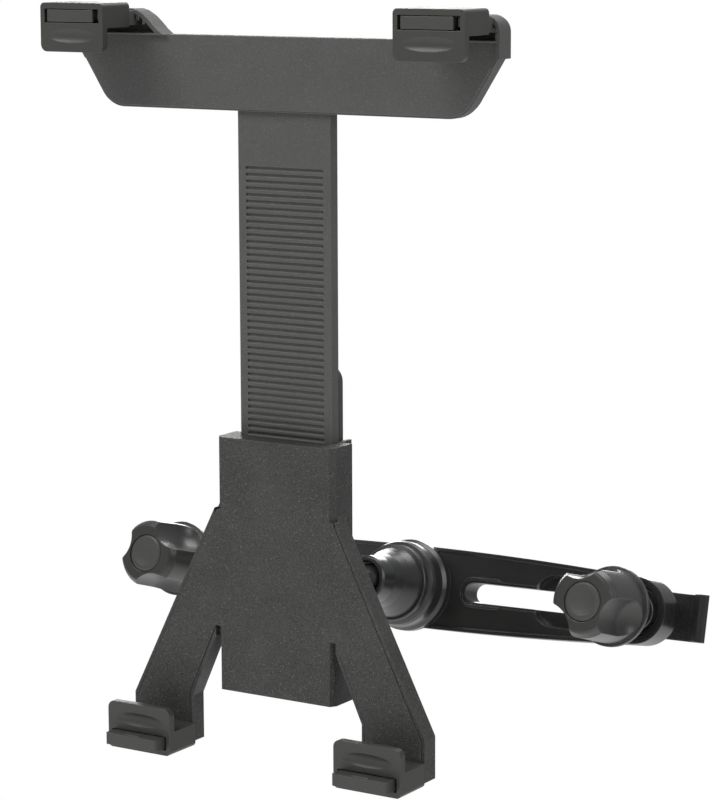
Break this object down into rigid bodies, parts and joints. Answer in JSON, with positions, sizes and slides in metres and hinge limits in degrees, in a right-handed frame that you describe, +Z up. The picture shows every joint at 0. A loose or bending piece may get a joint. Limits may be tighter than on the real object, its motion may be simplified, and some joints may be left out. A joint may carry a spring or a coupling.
{
  "type": "headrest tablet holder",
  "caption": "Headrest holder for a tablet: extending cradle with sliding clips on a ball joint, carried by a slotted bar with spring-loaded rod clamps.",
  "frame": {"origin": "middle of the bar's back face, which lies against the headrest rods", "axes": "+Z up along the headrest rods, +Y back towards the seat, +X to the viewer's right along the bar"},
  "size_m": [0.2512, 0.2042, 0.2815],
  "materials": {
    "steel": "satin, zinc plated",
    "brass": "turned",
    "cap_plastic": "fine grain",
    "knob_plastic": "satin with a fine grain",
    "clip_plastic": "satin",
    "pad_rubber": "matt",
    "hook_plastic": "satin",
    "liner_plastic": "slippery, natural colour",
    "bracket_plastic": "semi-gloss",
    "body_plastic": "spark-eroded grain",
    "slide_plastic": "fine grain",
    "trim_plastic": "satin"
  },
  "bodies": {
    "bracket": {"bracket_bar": "bracket_plastic", "bar_back_plate": "bracket_plastic", "bar_screws": "steel"},
    "lock_nut": {"ball_nut": "bracket_plastic"},
    "ball_seat": {"ball_liner": "liner_plastic"},
    "stem": {"ball_stem": "steel"},
    "cradle": {"rear_shell": "body_plastic", "front_cover": "body_plastic", "shell_screws": "steel", "swivel_ring": "trim_plastic", "swivel_screws": "steel", "lever_pin": "steel", "lever_spring": "steel", "tongue_bottom_left": "trim_plastic", "tongue_bottom_right": "trim_plastic"},
    "lever": {"release_lever": "trim_plastic"},
    "slide": {"slide_bar": "slide_plastic", "head_front": "slide_plastic", "head_back": "trim_plastic", "head_screws": "steel", "tongue_top_left": "trim_plastic", "tongue_top_right": "trim_plastic"},
    "clip_top_right": {"jaw_top_right": "clip_plastic"},
    "clip_top_left": {"jaw_top_left": "clip_plastic"},
    "clip_bottom_right": {"jaw_bottom_right": "clip_plastic"},
    "clip_bottom_left": {"jaw_bottom_left": "clip_plastic"},
    "carriage_right": {"clamp_washer_right": "bracket_plastic", "clamp_spring_right": "steel"},
    "hook_right": {"clamp_bolt_right": "steel", "hook_jaw_right": "hook_plastic", "hook_pad_right": "pad_rubber"},
    "insert_right": {"knob_insert_right": "brass"},
    "grip_right": {"knob_right": "knob_plastic", "knob_cap_right": "cap_plastic"},
    "carriage_left": {"clamp_washer_left": "bracket_plastic", "clamp_spring_left": "steel"},
    "hook_left": {"clamp_bolt_left": "steel", "hook_jaw_left": "hook_plastic", "hook_pad_left": "pad_rubber"},
    "insert_left": {"knob_insert_left": "brass"},
    "grip_left": {"knob_left": "knob_plastic", "knob_cap_left": "cap_plastic"}
  },
  "joints": [
    {"name": "lock_nut_turn", "type": "hinge", "parent": "bracket", "child": "lock_nut", "pos_m": [0, -0.0418, 0], "axis": [0, -1, 0], "range_deg": [0, 90]},
    {"name": "ball_pan", "type": "hinge", "parent": "bracket", "child": "ball_seat", "pos_m": [0, -0.0418, 0], "axis": [0, 0, 1], "range_deg": [-18, 18]},
    {"name": "ball_tilt", "type": "hinge", "parent": "ball_seat", "child": "stem", "pos_m": [0, -0.0418, 0], "axis": [1, 0, 0], "range_deg": [-40, 9]},
    {"name": "cradle_spin", "type": "hinge", "parent": "stem", "child": "cradle", "pos_m": [0, -0.0418, 0], "axis": [0, 0.9613, 0.2756], "continuous": true},
    {"name": "lever_swing", "type": "hinge", "parent": "cradle", "child": "lever", "pos_m": [0.00112, -0.10379, 0.03007], "axis": [-0.9997, -0.0067, 0.0235], "range_deg": [0, 6], "stiffness_Nm_per_rad": 0.4, "springref_deg": -5.73, "deforming": ["lever_spring"]},
    {"name": "height_slide", "type": "slide", "parent": "cradle", "child": "slide", "axis": [0.0244, -0.2756, 0.961], "range_m": [-0.065, 0.016]},
    {"name": "clip_top_right_slide", "type": "slide", "parent": "slide", "child": "clip_top_right", "axis": [0, -0.9613, -0.2756], "range_m": [0, 0.006]},
    {"name": "clip_top_left_slide", "type": "slide", "parent": "slide", "child": "clip_top_left", "axis": [0, -0.9613, -0.2756], "range_m": [0, 0.006]},
    {"name": "clip_bottom_right_slide", "type": "slide", "parent": "cradle", "child": "clip_bottom_right", "axis": [0, -0.9613, -0.2756], "range_m": [0, 0.006]},
    {"name": "clip_bottom_left_slide", "type": "slide", "parent": "cradle", "child": "clip_bottom_left", "axis": [0, -0.9613, -0.2756], "range_m": [0, 0.006]},
    {"name": "clamp_right_spread", "type": "slide", "parent": "bracket", "child": "carriage_right", "axis": [-1, 0, 0], "range_m": [0, 0.035]},
    {"name": "knob_right_press", "type": "slide", "parent": "carriage_right", "child": "insert_right", "axis": [0, 1, 0], "range_m": [0, 0.0085], "stiffness_N_per_m": 900, "springref_m": -0.002, "deforming": ["clamp_spring_right"]},
    {"name": "knob_right_turn", "type": "hinge", "parent": "insert_right", "child": "grip_right", "pos_m": [0.101, -0.0418, 0], "axis": [0, -1, 0], "range_deg": [0, 864]},
    {"name": "hook_right_draw", "type": "slide", "parent": "insert_right", "child": "hook_right", "axis": [0, 1, 0], "range_m": [0, 0.003]},
    {"name": "clamp_left_spread", "type": "slide", "parent": "bracket", "child": "carriage_left", "axis": [1, 0, 0], "range_m": [0, 0.035]},
    {"name": "knob_left_press", "type": "slide", "parent": "carriage_left", "child": "insert_left", "axis": [0, 1, 0], "range_m": [0, 0.0085], "stiffness_N_per_m": 900, "springref_m": -0.002, "deforming": ["clamp_spring_left"]},
    {"name": "knob_left_turn", "type": "hinge", "parent": "insert_left", "child": "grip_left", "pos_m": [-0.101, -0.0418, 0], "axis": [0, -1, 0], "range_deg": [0, 864]},
    {"name": "hook_left_draw", "type": "slide", "parent": "insert_left", "child": "hook_left", "axis": [0, 1, 0], "range_m": [0, 0.003]}
  ],
  "couplings": [
    {"joint": "hook_right_draw", "follows": "knob_right_turn", "m_per_rad": 0.00019894},
    {"joint": "hook_left_draw", "follows": "knob_left_turn", "m_per_rad": 0.00019894}
  ]
}
